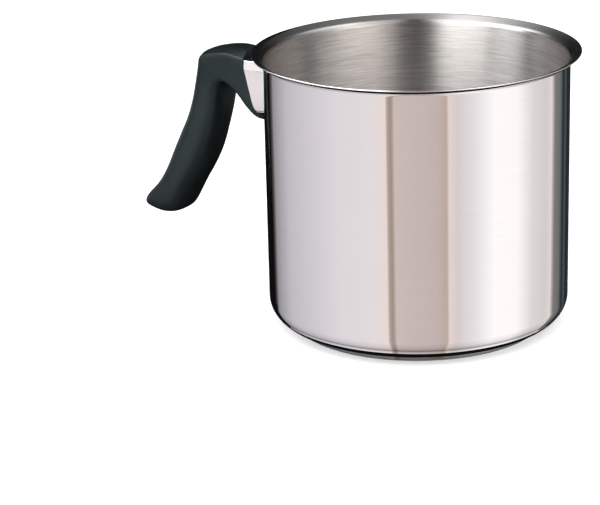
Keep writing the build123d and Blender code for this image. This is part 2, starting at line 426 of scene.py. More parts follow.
BELL_START = 45
BELL_END = 77
outer = [(0.0, BASE_HEIGHT), (corner_radius - CORNER_LOOP_GAP, BASE_HEIGHT)]
outer += arc((corner_radius, corner_level), FLOOR_CORNER + SHEET, -90, 0, 16)
outer += straight((wall_radius, corner_level), (wall_radius, bend_level), WALL_STEPS)
outer += arc((bend_radius, bend_level), out_bend, 180, 180 - LIP_SLOPE, 10)
edge = arc(edge_centre, half_sheet, -LIP_SLOPE, 180 - BELL_END, 10)
bend = arc((bend_radius, bend_level), LIP_BEND, 180 - BELL_START, 180, 8)
upper_face = bell(edge[-1], BELL_END, bend[0], BELL_START, 9)
inner = upper_face[1:-1] + bend
inner += straight((INNER_RADIUS, bend_level), (INNER_RADIUS, corner_level), WALL_STEPS)
inner += arc((corner_radius, corner_level), FLOOR_CORNER, 0, -90, 16)
inner += [(corner_radius * 0.6, floor_level), (0.0, floor_level)]
pot = spun(outer + edge + inner, ROUND_STEPS)
smooth(pot, 40)
print("the lip is", round(lip_length / MM, 2), "mm long")

# %% [markdown]
# Three finishes meet on the pot. Faces are sorted by where they are and where they point:
# the satin stops where the flare's bell begins, and the bell is polished again.

# %% Give the pot's faces their finishes
SATIN_TOP = bend[0][1] - 0.1 * MM
LEVEL_FACE = 0.02
for finish in (outside_polish, inside_satin, flare_polish):
    pot.data.materials.append(finish)
for face in pot.data.polygons:
    middle = face.center
    away = Vector((middle.x, middle.y, 0)).normalized()
    faces_in = face.normal.dot(away) < -LEVEL_FACE or face.normal.z > LEVEL_FACE
    if not faces_in:
        face.material_index = 0
    elif middle.z < SATIN_TOP:
        face.material_index = 1
    else:
        face.material_index = 2
keep(pot, "pot", "pot_steel", "pot_body")


# %% [markdown]
# ## The litre marks
# A dark scale is etched on the inner wall: one upright line, a tick at every quarter litre
# and the amount beside it. An etched mark could be painted in the material, but a thin mesh
# keeps its edge sharp from close by. We draw the scale flat, with X along the wall and Y up,
# and then wrap its points round the inner wall. The level of a mark follows from the volume
# below it: the corner and the floor take a few millilitres less than a plain cylinder.

# %% The scale's lines and figures
MARK_TURN = 280
MARK_STEP_LITRES = 0.25
MARK_COUNT = 6
CORNER_LOSS = 8.6e-6
LINE_WIDTH = 0.55 * MM
TICK_WIDTH = 0.45 * MM
LONG_TICK = 8.6 * MM
SHORT_TICK = 6.6 * MM
LINE_TAIL = 9.0 * MM
FIGURE_START = 11.0 * MM
FIGURE_SIZE = 4.2 * MM
MARK_DEPTH = 0.03 * MM
MARK_INSET = 0.01 * MM


def mark_level(litres):
    """The height of the milk when the pan holds so many litres."""
    return floor_level + (litres * 0.001 + CORNER_LOSS) / (math.pi * INNER_RADIUS**2)


def stroke(left, right, low, high):
    """A flat bar of the scale, cut into short lengths so that it can bend."""
    clear_selection()
    middle = ((left + right) / 2, (low + high) / 2, 0)
    bpy.ops.mesh.primitive_plane_add(size=1, location=middle)
    piece = bpy.context.object
    piece.scale = (right - left, high - low, 1)
    settle(piece)
    edit_all()
    bpy.ops.mesh.subdivide(number_cuts=7)
    bpy.ops.object.mode_set(mode="OBJECT")
    return piece


def figures(words, left, level):
    """Flat figures whose middle is at a level."""
    clear_selection()
    bpy.ops.object.text_add(location=(left, level, 0))
    piece = bpy.context.object
    piece.data.body = words
    piece.data.size = FIGURE_SIZE
    piece.data.space_character = 1.12
    piece.data.align_y = "CENTER"
    piece.data.resolution_u = 4
    bpy.ops.object.convert(target="MESH")
    settle(piece)
    return piece


levels = [mark_level(MARK_STEP_LITRES * (number + 1)) for number in range(MARK_COUNT)]
marks = [stroke(0, LINE_WIDTH, levels[0] - LINE_TAIL, levels[-1] + TICK_WIDTH / 2)]
for number, level in enumerate(levels):
    litres = MARK_STEP_LITRES * (number + 1)
    tick = LONG_TICK if number % 2 else SHORT_TICK
    words = ("%.1fL" if number % 2 else "%.2fL") % litres
    marks.append(stroke(LINE_WIDTH, tick, level - TICK_WIDTH / 2, level + TICK_WIDTH / 2))
    marks.append(figures(words, FIGURE_START, level))
print("the 1.5 litre mark stands", round(levels[-1] / MM, 1), "mm up")

# %% Wrap the scale round the inner wall
clear_selection()
for mark in marks:
    mark.select_set(True)
bpy.context.view_layer.objects.active = marks[0]
bpy.ops.object.join()
scale_marks = bpy.context.object
for vertex in scale_marks.data.vertices:
    angle = math.radians(MARK_TURN) - vertex.co.x / INNER_RADIUS
    radius = INNER_RADIUS - MARK_INSET
    vertex.co = (radius * math.cos(angle), radius * math.sin(angle), vertex.co.y)
apply_modifier(scale_marks, "SOLIDIFY", thickness=MARK_DEPTH, offset=1)
etch = Finish("etched_marks")
etch.colour(etch.noise(etch.place, 900, 2.0), (0.022, 0.020, 0.018), (0.040, 0.036, 0.032))
etch.put(Roughness=0.55, Metallic=0.3)
scale_marks.data.materials.append(etch.material)
keep(scale_marks, "litre_marks", "pot_steel")


# %% [markdown]
# ## The base
# A steel capsule closes the aluminium disc under the pot. It is a shallow pressed dish with
# a rounded edge, spun like the pot, and its satin lines run in rings under it.

# %% The capsule
cap_section = [(0.0, 0), (CAP_RADIUS * 0.4, 0), (CAP_RADIUS * 0.8, 0)]
cap_section += arc((CAP_RADIUS - CAP_ROUND, CAP_ROUND), CAP_ROUND, -90, 0, 8)
cap_section += [(CAP_RADIUS, BASE_HEIGHT - CAP_BEVEL), (CAP_RADIUS - CAP_BEVEL, BASE_HEIGHT)]
cap_section += [(0.0, BASE_HEIGHT)]
cap = spun(cap_section, ROUND_STEPS)
smooth(cap, 40)
cap.data.materials.append(cap_satin)
keep(cap, "base_capsule", "cap_steel", "base_cap")

# %% [markdown]
# ## The handle
# The handle is one phenolic moulding. Seen from the side it goes out from the ferrule as a
# roof, turns down round an arch for the first finger, and runs down as a rounded grip with
# slight finger waves to a heel. A maker would loft it: each row below is a station, with the
# outer and the inner point of the outline, then the section there.

# %% The handle's stations
ROOF_LEVEL = 122.5 * MM
HANDLE_REACH = 83.4 * MM
WEB_DROP = 32.6 * MM
HANDLE_DROP = 89.0 * MM
HANDLE_WIDTH = 24.6 * MM

arch_station_shares = [
    (0.027, 0.000, -0.034, 0.999, 0.496, 0.21, 0.00),
    (0.111, 0.000, 0.043, 0.996, 0.496, 0.20, 0.00),
    (0.198, 0.003, 0.124, 0.988, 0.496, 0.17, 0.00),
    (0.270, 0.003, 0.191, 0.860, 0.493, 0.12, 0.00),
    (0.352, 0.001, 0.253, 0.674, 0.487, 0.08, 0.00),
    (0.447, 0.043, 0.312, 0.549, 0.483, 0.07, 0.04),
    (0.532, 0.114, 0.358, 0.521, 0.480, 0.07, 0.16),
    (0.556, 0.266, 0.389, 0.603, 0.472, 0.08, 0.45),
]
grip_station_shares = [
    (0.584, 0.193, 0.405, 0.284, 0.466, 0.09, 0.78),
    (0.616, 0.305, 0.423, 0.378, 0.463, 0.10, 0.96),
    (0.656, 0.409, 0.456, 0.488, 0.462, 0.10, 1.00),
    (0.711, 0.509, 0.496, 0.604, 0.462, 0.10, 1.00),
    (0.765, 0.611, 0.556, 0.715, 0.462, 0.10, 1.00),
    (0.815, 0.711, 0.625, 0.815, 0.462, 0.10, 1.00),
    (0.871, 0.799, 0.676, 0.898, 0.462, 0.10, 1.00),
    (0.930, 0.862, 0.714, 0.957, 0.459, 0.10, 1.00),
    (0.978, 0.907, 0.755, 0.987, 0.444, 0.10, 1.00),
    (1.002, 0.952, 0.803, 0.998, 0.383, 0.10, 1.00),
    (0.950, 0.984, 0.873, 1.000, 0.190, 0.10, 1.00),
]
stations = [
    (a * HANDLE_REACH, b * drop, c * HANDLE_REACH, d * drop, w, v, g)
    for rows, drop in ((arch_station_shares, WEB_DROP), (grip_station_shares, HANDLE_DROP))
    for a, b, c, d, w, v, g in rows
]
print("the handle has", len(stations), "stations")


# %% [markdown]
# Between the stations a smooth curve through their values gives more rings, so that the
# mesh follows the moulding closely. Each ring goes from a bevelled roof section to a rounded
# oblong, by the last value of its station.

# %% From stations to rings
def between(values, place):
    """A smooth curve through evenly numbered values."""
    index = min(int(place), len(values) - 2)
    t = place - index
    before = values[max(index - 1, 0)]
    start, end = values[index], values[index + 1]
    after = values[min(index + 2, len(values) - 1)]
    return 0.5 * (
        2 * start
        + (end - before) * t
        + (2 * before - 5 * start + 4 * end - after) * t * t
        + (3 * start - before - 3 * end + after) * t * t * t
    )


ROOF_SIDES = (
    0.0, 0.18, 0.36, 0.52, 0.68, 0.82, 0.93, 0.958, 0.978, 0.992, 1.0,
    1.0, 1.0, 1.0, 0.985, 0.94, 0.84, 0.70, 0.50, 0.30, 0.14, 0.0,
)
ROOF_FALLS = (0.0, 0.0, 0.02, 0.22, 0.48, 0.74, 0.94)
CREST_FALLS = (0.6 * MM, 1.5 * MM, 3.2 * MM, 6.0 * MM)
GRIP_ANGLES = (
    90, 81, 72, 63, 55, 47, 40, 33, 26, 19, 12,
    5, -3, -12, -22, -33, -44, -54, -63, -72, -81, -90,
)
GRIP_ROUNDNESS = 2.8
WEB_CORNER = 2.6 * MM


def half_ring(half_width, half_depth, bevel, grip_share):
    """Right half of a ring: (across, along), from the middle of the top to the bottom."""
    heights = [half_depth - share * bevel for share in ROOF_FALLS]
    heights += [heights[-1] - fall for fall in CREST_FALLS]
    side_top, side_foot = heights[-1], WEB_CORNER - half_depth
    heights += [side_top + (side_foot - side_top) * k / 3 for k in (1, 2, 3)]
    heights += [side_foot - share * WEB_CORNER for share in (0.38, 0.70, 0.93)]
    heights += [-half_depth] * 5
    power = 2 / GRIP_ROUNDNESS
    points = []
    for side, height, angle in zip(ROOF_SIDES, heights, GRIP_ANGLES):
        cosine = math.cos(math.radians(angle))
        sine = math.sin(math.radians(angle))
        grip_side = abs(cosine) ** power if abs(angle) != 90 else 0.0
        grip_height = math.copysign(abs(sine) ** power, sine) * half_depth
        across = side + (grip_side - side) * grip_share
        points.append((across * half_width, height + (grip_height - height) * grip_share))
    return points


def handle_ring(station):
    """The points of one ring, all the way round."""
    out_reach, out_depth, in_reach, in_depth, half_share, bevel_share, grip_share = station
    outer_point = Vector((-wall_radius - out_reach, 0, ROOF_LEVEL - out_depth))
    inner_point = Vector((-wall_radius - in_reach, 0, ROOF_LEVEL - in_depth))
    middle = (outer_point + inner_point) / 2
    up = (outer_point - inner_point).normalized()
    half = half_ring(
        half_share * HANDLE_WIDTH,
        (outer_point - inner_point).length / 2,
        bevel_share * HANDLE_WIDTH,
        min(max(grip_share, 0.0), 1.0),
    )
    right = [middle + up * along + Vector((0, across, 0)) for across, along in half]
    left = [middle + up * along - Vector((0, across, 0)) for across, along in half[1:-1]]
    return right + left[::-1]


RINGS_PER_STATION = 3
ring_count = (len(stations) - 1) * RINGS_PER_STATION + 1
columns = list(zip(*stations))
rings = []
for number in range(ring_count):
    place = number / RINGS_PER_STATION
    rings.append(handle_ring([between(column, place) for column in columns]))
print("the handle has", len(rings), "rings of", len(rings[0]), "points")


# %% [markdown]
# The rings become a mesh the way a maker works: a circle is added, and its loop is extruded
# from ring to ring, each time with its points moved to their places. Flat faces close the
# ends, and one level of subdivision rounds the whole.

# %% Extrude the loop from ring to ring
def place_loop(piece, before, ring):
    """Moves the selected loop, which lies on the points in before, to the ring."""
    mesh = bmesh.from_edit_mesh(piece.data)
    loop = [vertex for vertex in mesh.verts if vertex.select]
    taken = [min(loop, key=lambda vertex: (vertex.co - point).length) for point in before]
    for vertex, point in zip(taken, ring):
        vertex.co = point
    bmesh.update_edit_mesh(piece.data)


def stacked(rings):
    """Extrudes a loop of vertices from ring to ring, and leaves the mesh open."""
    clear_selection()
    bpy.ops.mesh.primitive_circle_add(vertices=len(rings[0]), radius=0.01)
    piece = bpy.context.object
    before = [vertex.co.copy() for vertex in piece.data.vertices]
    edit_all()
    place_loop(piece, before, rings[0])
    for before, ring in zip(rings, rings[1:]):
        bpy.ops.mesh.extrude_region_move(TRANSFORM_OT_translate={"value": (0, 0, 0)})
        place_loop(piece, before, ring)
    return piece


handle = stacked(rings)
bpy.ops.mesh.select_all(action="DESELECT")
bpy.ops.mesh.select_non_manifold()
bpy.ops.mesh.fill_holes(sides=0)
close_shell()
apply_modifier(handle, "SUBSURF", levels=1, render_levels=1)
print("the handle's mesh has", len(handle.data.polygons), "faces")

# %% [markdown]
# ## Where the handle meets the ferrule
# The handle butts on the ferrule's slanted end, and a thin toe of it wraps under the
# ferrule. A cutter with the ferrule's side outline takes that corner out of the handle.

# %% Cut the handle to the ferrule
FERRULE_TOP = 118.3 * MM
FERRULE_FOOT = 92.3 * MM
FERRULE_TOP_REACH = 17.4 * MM
FERRULE_FOOT_REACH = 10.8 * MM
FERRULE_ROUND = 8.0 * MM
TOE_REACH = 5.0 * MM
JOINT_GAP = 0.12 * MM
CUTTER_HALF_WIDTH = 20 * MM
CUTTER_INNER_END = -wall_radius + 8 * MM
CUTTER_RISE = 5 * MM
TOE_CUT_LOW = 70 * MM
TOE_CUT_HIGH = 130 * MM


def prism(outline):
    """A closed solid from a side outline, a list of (x, z), wider than the handle."""
    clear_selection()
    bpy.ops.mesh.primitive_circle_add(vertices=len(outline), radius=0.01, fill_type="NGON")
    piece = bpy.context.object
    for vertex, (x, z) in zip(piece.data.vertices, outline):
        vertex.co = (x, -CUTTER_HALF_WIDTH, z)
    edit_all()
    across = (0, 2 * CUTTER_HALF_WIDTH, 0)
    bpy.ops.mesh.extrude_region_move(TRANSFORM_OT_translate={"value": across})
    close_shell()
    return piece


def ferrule_outline():
    """The ferrule's side outline with its rounded foot, run on above the roof."""
    lean = (FERRULE_TOP_REACH - FERRULE_FOOT_REACH) / (FERRULE_TOP - FERRULE_FOOT)
    tilt = math.degrees(math.atan(lean))
    foot_x = -wall_radius - FERRULE_FOOT_REACH - JOINT_GAP
    foot_z = FERRULE_FOOT - JOINT_GAP
    centre_x = foot_x + FERRULE_ROUND / math.tan(math.radians(90 + tilt) / 2)
    rounded = arc((centre_x, foot_z + FERRULE_ROUND), FERRULE_ROUND, -90, tilt - 180, 8)
    high = ROOF_LEVEL + CUTTER_RISE
    top_x = foot_x - (high - foot_z) * lean
    return [(CUTTER_INNER_END, foot_z)] + rounded + [(top_x, high), (CUTTER_INNER_END, high)]


def cut(piece, cutter):
    """Takes the cutter's shape out of piece and removes the cutter."""
    apply_modifier(piece, "BOOLEAN", operation="DIFFERENCE", object=cutter, solver="EXACT")
    bpy.data.objects.remove(cutter)


cut(handle, prism(ferrule_outline()))
toe = -wall_radius - TOE_REACH
toe_cut = [(toe, TOE_CUT_LOW), (0, TOE_CUT_LOW), (0, TOE_CUT_HIGH), (toe, TOE_CUT_HIGH)]
cut(handle, prism(toe_cut))

# %% [markdown]
# The screw that holds the handle sits in a round recess in the handle's outer face, just
# under the roof's end. The recess goes straight in along the screw's axis.

# %% The screw's recess
SCREW_LEVEL = 111.0 * MM
RECESS_RADIUS = 4.2 * MM
RECESS_FLOOR = wall_radius + 41.9 * MM
BORE_RADIUS = 2.25 * MM
BORE_START = wall_radius + 12 * MM
BORE_OVERLAP = 1 * MM
ROD_SIDES = 48


def rod(radius, start, end):
    """A rod along the handle's screw, between two distances from the pot's axis."""
    clear_selection()
    bpy.ops.mesh.primitive_cylinder_add(
        vertices=ROD_SIDES,
        radius=radius,
        depth=end - start,
        location=(-(start + end) / 2, 0, SCREW_LEVEL),
        rotation=(0, math.radians(90), 0),
    )
    piece = bpy.context.object
    settle(piece)
    return piece


cut(handle, rod(RECESS_RADIUS, RECESS_FLOOR, wall_radius + HANDLE_REACH))
cut(handle, rod(BORE_RADIUS, BORE_START, RECESS_FLOOR + BORE_OVERLAP))
smooth(handle, 32)


# %% [markdown]
# ## Phenolic
# Moulded phenolic is a hard black plastic. It is not quite black: it has a cool cast, a
# satin skin with a very fine grain from the mould, and slightly glossier patches where hands
# have rubbed it.

# %% The handle's finish
phenolic = Finish("phenolic")
grain = phenolic.noise(phenolic.place, 2400, 3.0, 0.6)
cloud = phenolic.noise(phenolic.place, 60, 3.0)
phenolic.colour(cloud, (0.0055, 0.0080, 0.0085), (0.0075, 0.0105, 0.0110))
phenolic.drive("Roughness", cloud, 0.36, 0.46)
phenolic.link(phenolic.bump(grain, 0.000012, 0.35), phenolic.shader.inputs["Normal"])
phenolic.put(IOR=1.52, Specular_Tint=(0.80, 0.98, 1.0, 1))
handle.data.materials.append(phenolic.material)
keep(handle, "handle", "phenolic", "handle_grip")


# %% [markdown]
# ## Metal parts that keep their CAD solids
# The ferrule, the screw, its washer and nut, the bracket and the base's aluminium disc are
# shapes that the CAD model already has right. They keep their solids and only get a finish.

# %% Finishes on CAD solids
screw_zinc = polished_steel("screw_zinc", (0.80, 0.79, 0.76), 0.24)
bracket_plain = polished_steel("bracket_plain", (0.66, 0.65, 0.63), 0.32)
core_plain = satin_steel("core_plain", (0.86, 0.86, 0.87), 0.35, 0.2)
cad_finishes = {
    "ferrule": ferrule_polish,
    "handle_screw": screw_zinc,
    "lock_washer": screw_zinc,
    "bracket_nut": screw_zinc,
    "handle_bracket": bracket_plain,
    "base_core": core_plain,
}
for name, finish in cad_finishes.items():
    nodes[name].data.materials.clear()
    nodes[name].data.materials.append(finish)
print("finishes on CAD solids:", len(cad_finishes))


# %% [markdown]
# ## The studio
# A plain pale table in a pale room, with a soft box left and right of the camera and one
# overhead. They light the table and the handle. Steel shows what it mirrors and little
# else, so it doesn't mirror them and gets cards made for it instead.

# %% Floor and room
clear_selection()
bpy.ops.mesh.primitive_plane_add(size=16, location=(0, 0, -0.1 * MM))
floor = bpy.context.object
floor.name = "floor"
table_top = Finish("table_top")
table_top.colour(table_top.noise(table_top.place, 40, 2.0), 0.88, 0.90)
table_top.put(Roughness=0.9, Specular_IOR_Level=0.0)
table_top.put(Emission_Color=(1.0, 1.0, 1.0, 1), Emission_Strength=0.45)
floor.data.materials.append(table_top.material)
floor.visible_glossy = False

world = bpy.data.worlds.new("room")
bpy.context.scene.world = world
world.use_nodes = True
room = world.node_tree.nodes["Background"]
room.inputs["Color"].default_value = (0.95, 0.97, 1.0, 1)
room.inputs["Strength"].default_value = 0.74
world.cycles_visibility.glossy = False

camera_angle = math.atan2(to_camera.y, to_camera.x)
PAN_MIDDLE = Vector((0, 0, 60 * MM))
UP = Vector((0, 0, 1))


def outwards_at(turn):
    """The level direction away from the pot's axis, in degrees from the camera's side."""
    angle = camera_angle + math.radians(turn)
    return Vector((math.cos(angle), math.sin(angle), 0))


def soft_box(name, turn, rise, distance, size, power, colour):
    """An area light that faces the pan, turned from the camera's side, and isn't mirrored."""
    data = bpy.data.lights.new(name, "AREA")
    data.shape = "RECTANGLE"
    data.size, data.size_y = size
    data.energy = power
    data.color = colour
    light = bpy.data.objects.new(name, data)
    bpy.context.scene.collection.objects.link(light)
    lift = math.radians(rise)
    aside = outwards_at(turn) * math.cos(lift) + UP * math.sin(lift)
    light.location = PAN_MIDDLE + aside * distance
    light.rotation_euler = (-aside).to_track_quat("-Z", "Y").to_euler()
    light.visible_glossy = False


# Name, turn, rise, distance, size, power and colour
soft_box("soft_box_left", -43, 44, 1.5, (1.25, 0.9), 11, (1.0, 0.985, 0.98))
soft_box("soft_box_right", 43, 44, 1.5, (1.25, 0.9), 7.5, (1.0, 0.985, 0.97))
soft_box("soft_box_top", 180, 78, 1.6, (1.0, 1.0), 4.5, (1.0, 1.0, 1.0))
print("the studio holds", len(bpy.data.lights), "soft boxes")

# %% [markdown]
# A polished round wall mirrors everything about it, squeezed into narrow upright bands. A
# photographer paints those bands with cards: white ones, a beige one, and black ones at the
# sides that give the pot its dark edges. The cards here glow on their front and are clear
# from behind, and only mirrored light sees them. Their glow is read from a UV map: U runs
# along the card and V runs across it.

# %% A glowing card
def card_paint(name):
    """A new material for a card, its node tree and the card's UV place."""
    material = bpy.data.materials.new(name)
    material.use_nodes = True
    tree = material.node_tree
    tree.nodes.clear()
    where = tree.nodes.new("ShaderNodeUVMap")
    where.uv_map = "bands"
    return material, tree, where.outputs[0]


def show(tree, emission, clearness):
    """Ends a card's node tree: its emission shows where clearness is 0."""
    clear = tree.nodes.new("ShaderNodeBsdfTransparent")
    mix = tree.nodes.new("ShaderNodeMixShader")
    tree.links.new(clearness, mix.inputs[0])
    tree.links.new(emission.outputs[0], mix.inputs[1])
    tree.links.new(clear.outputs[0], mix.inputs[2])
    output = tree.nodes.new("ShaderNodeOutputMaterial")
    tree.links.new(mix.outputs[0], output.inputs["Surface"])


def glow(name, along, across=((0, 1), (1, 1))):
    """A glow with colour stops along and across the card, clear from behind."""
    material, tree, place = card_paint(name)
    split = tree.nodes.new("ShaderNodeSeparateXYZ")
    tree.links.new(place, split.inputs[0])
    product = tree.nodes.new("ShaderNodeVectorMath")
    product.operation = "MULTIPLY"
    tree.links.new(colour_ramp(tree, split.outputs["X"], along), product.inputs[0])
    tree.links.new(colour_ramp(tree, split.outputs["Y"], across), product.inputs[1])
    emission = tree.nodes.new("ShaderNodeEmission")
    tree.links.new(product.outputs[0], emission.inputs["Color"])
    side = tree.nodes.new("ShaderNodeNewGeometry")
    show(tree, emission, side.outputs["Backfacing"])
    return material


def plain_glow(name, colour):
    return glow(name, ((0, colour), (1, colour)))


BLACK = (0.004, 0.005, 0.006)
# Black that only mirrored light sees: painted dark reflections and painted shade.
painted_dark_reflection = plain_glow("painted_dark_reflection", BLACK)


def card(name, columns, material):
    """A card from columns of points: U runs from column to column and V along each."""
    mesh = bpy.data.meshes.new(name)
    shape = bmesh.new()
    layer = shape.loops.layers.uv.new("bands")
    made = [[shape.verts.new(point) for point in column] for column in columns]
    last, top = len(columns) - 1, len(columns[0]) - 1
    for u in range(last):
        for v in range(top):
            places = ((u, v), (u, v + 1), (u + 1, v + 1), (u + 1, v))
            face = shape.faces.new([made[i][j] for i, j in places])
            for loop, (i, j) in zip(face.loops, places):
                loop[layer].uv = (i / last, j / top)
    shape.to_mesh(mesh)
    shape.free()
    piece = bpy.data.objects.new(name, mesh)
    bpy.context.scene.collection.objects.link(piece)
    mesh.materials.append(material)
    piece.visible_camera = False
    piece.visible_diffuse = False
    piece.visible_shadow = False
    piece.visible_transmission = False
    print("card:", name)


def round_card(name, profile, material, start=-180, end=180):
    """A card swept round the pot's axis, in degrees from the camera's side."""
    columns = []
    for turn in range(start, end + 1, 2):
        outwards = outwards_at(turn)
        columns.append([outwards * radius + UP * height for radius, height in profile])
    card(name, columns, material)


# %% [markdown]
# The card for the outside lies round the pot's foot and then stands up. Each of its columns
# follows the path that light from the camera takes after the wall has mirrored it, so a
# band on the card is an upright band on the wall.

# %% The bands on the wall
CARD_LEVEL = 0.6 * MM
CARD_FOOT = (60.6 * MM, 71.5 * MM)
CARD_HEIGHT = 116 * MM
NEAR_RUNS = (2.5 * MM, 6.5 * MM)

# Degrees to the side of the camera, then linear colour
bands = [
    (-71.2, (0.002, 0.002, 0.003)),
    (-70.0, (0.030, 0.023, 0.021)),
    (-68.2, (0.11, 0.088, 0.083)),
    (-66.3, (0.32, 0.31, 0.325)),
    (-62.0, (0.42, 0.42, 0.45)),
    (-55.0, (0.60, 0.58, 0.61)),
    (-30.0, (0.82, 0.79, 0.82)),
    (-16.0, (0.87, 0.82, 0.83)),
    (-11.1, (0.92, 0.80, 0.76)),
    (-10.4, (0.46, 0.38, 0.33)),
    (-8.9, (0.38, 0.30, 0.26)),
    (-8.1, (0.68, 0.58, 0.55)),
    (6.8, (0.61, 0.52, 0.51)),
    (10.6, (0.57, 0.46, 0.39)),
    (11.4, (0.90, 0.76, 0.72)),
    (14.5, (0.76, 0.70, 0.71)),
    (22.0, (0.91, 0.88, 0.90)),
    (29.0, (1.14, 1.12, 1.12)),
    (39.0, (1.14, 1.09, 1.09)),
    (47.0, (0.82, 0.78, 0.79)),
    (55.0, (0.74, 0.69, 0.70)),
    (58.7, (0.84, 0.77, 0.76)),
    (60.2, (0.42, 0.39, 0.38)),
    (61.6, (0.22, 0.21, 0.20)),
    (66.0, (0.16, 0.175, 0.18)),
    (67.6, (0.09, 0.10, 0.105)),
    (69.4, (0.016, 0.026, 0.028)),
    (72.8, (0.075, 0.088, 0.092)),
    (75.5, (0.010, 0.016, 0.018)),
    (79.0, (0.028, 0.036, 0.038)),
    (92.0, (0.002, 0.003, 0.004)),
]


def mirror_columns(start, end, runs, height):
    """Columns of a card from start to end degrees: a foot, a flat run and a standing part."""
    columns = []
    for turn in range(start, end + 1):
        outwards = outwards_at(turn)
        away = (outwards * wall_radius + PAN_MIDDLE - camera_place).reflect(outwards)
        away.z = 0
        away.normalize()
        column = [outwards * radius + UP * CARD_LEVEL for radius in CARD_FOOT]
        column += [column[1] + away * run for run in runs]
        column.append(column[-1] + UP * height)
        columns.append(column)
    return columns


BAND_START = -72
BAND_END = 92
band_stops = [((turn - BAND_START) / (BAND_END - BAND_START), colour) for turn, colour in bands]
# Across the card: painted shade under the pot's corner and just outside its foot, with a bright
# band between, a painted highlight on the capsule.
foot_stops = [
    (0.0, 0.25), (0.06, 0.25), (0.09, 1.3), (0.13, 1.2), (0.2, 0.5), (0.28, 0.28),
    (0.36, 0.6), (0.6, 0.85), (0.68, 1.0),
]
band_columns = mirror_columns(BAND_START, BAND_END, NEAR_RUNS + (40 * MM,), CARD_HEIGHT)
card("wall_bands", band_columns, glow("wall_bands_glow", band_stops, foot_stops))

# %% [markdown]
# The inside is satin and takes its light from a round tent over the studio. The tent's wall
# is pale where soft boxes would stand and dark behind the camera and along the back, so the
# satin shows two pale upright bands with a dark one between them. The tent's roof does the
# same for the flare, but darker at one side.

# %% The tent
def tinted(stops, left_tint, right_tint):
    """Grey stops in degrees, tinted by side, as places along a card from -180 to 180."""
    made = []
    for turn, grey in stops:
        tint = left_tint if turn < 0 else right_tint
        made.append(((turn + 180) / 360, [grey * share for share in tint]))
    return made


NEUTRAL = (1.0, 0.99, 0.97)
WARM = (1.0, 0.90, 0.84)
COOL = (0.97, 1.0, 1.02)
TENT_RADIUS = 2.6
TENT_EAVES = 2.0
tent_wall_stops = [
    (-150, 0.01), (-136, 0.015), (-116, 0.04), (-97, 0.14), (-84, 0.6), (-74, 2.1), (-62, 4.2),
    (-39, 5.2), (-25, 4.4), (-20, 3.2), (-13, 0.04), (0, 0.02), (12, 0.02), (18, 1.1), (30, 2.15),
    (45, 2.8), (58, 2.2), (67, 0.8), (78, 0.15), (92, 0.04), (116, 0.02), (140, 0.01),
]
tent_roof_stops = [
    (-142, 0.01), (-115, 0.03), (-95, 0.15), (-70, 0.45), (-50, 0.9), (-20, 0.8), (-12, 0.05),
    (0, 0.04), (14, 0.05), (24, 0.5), (65, 0.6), (90, 0.15), (142, 0.01),
]
tent_wall_glow = glow("tent_wall_glow", tinted(tent_wall_stops, NEUTRAL, WARM))
tent_roof_glow = glow("tent_roof_glow", tinted(tent_roof_stops, NEUTRAL, WARM))
round_card("tent_wall", [(TENT_RADIUS, 0.02), (TENT_RADIUS, TENT_EAVES)], tent_wall_glow)
round_card("tent_roof", [(TENT_RADIUS, TENT_EAVES), (1.6, 3.0), (0.01, 3.4)], tent_roof_glow)

# %% [markdown]
# The flare is a bell, steep at its bend and nearly flat at its edge, so at the back of the
# rim each part of it mirrors another height overhead. Three strips lie along those paths of
# mirrored light: one for the bend, one for the flat part and a black one for the very edge.

# %% The strips over the flare
FLARE_MIDDLE = (73.4 * MM, 128.9 * MM)
STRIP_DISTANCE = 1.9


def strip_over_flare(name, tilts, stops):
    """A strip where faces of the rim, tilted up by tilts, mirror; stops go from the back."""
    columns = []
    for turn in range(-90, 91, 3):
        outwards = outwards_at(180 + turn)
        start = outwards * FLARE_MIDDLE[0] + UP * FLARE_MIDDLE[1]
        column = []
        for tilt in tilts:
            lean = math.radians(tilt)
            facing = UP * math.sin(lean) - outwards * math.cos(lean)
            mirrored_ray = (start - camera_place).normalized().reflect(facing)
            column.append(start + mirrored_ray * STRIP_DISTANCE)
        columns.append(column)
    places = [((turn + 90) / 180, grey) for turn, grey in stops]
    card(name, columns, glow(name + "_glow", places))


bend_stops = [
    (-80, 0.01), (-65, 0.08), (-58, 0.35), (-49, 1.4), (-39, 1.4), (-10, 1.2), (-5, 0.22),
    (-1, 0.04), (3, 0.04), (7, 0.42), (14, 0.62), (20, 0.80), (27, 1.25), (35, 1.0),
    (44, 0.6), (55, 0.14), (70, 0.03), (80, 0.01),
]
flat_stops = [
    (-80, 0.01), (-65, 0.06), (-58, 0.12), (-49, 0.26), (-39, 0.46), (-31, 0.75), (-22, 1.05),
    (-15, 1.05), (-10, 0.6), (-5, 0.27), (0, 0.19), (27, 0.19), (44, 0.12), (55, 0.07), (80, 0.01),
]
strip_over_flare("strip_over_bend", (20, 30, 40, 45, 50), bend_stops)
strip_over_flare("strip_over_flat_part", (50, 56, 62, 68, 74, 77), flat_stops)
strip_over_flare("strip_over_edge", (77, 84, 94, 104), [(-80, 0.01), (80, 0.01)])
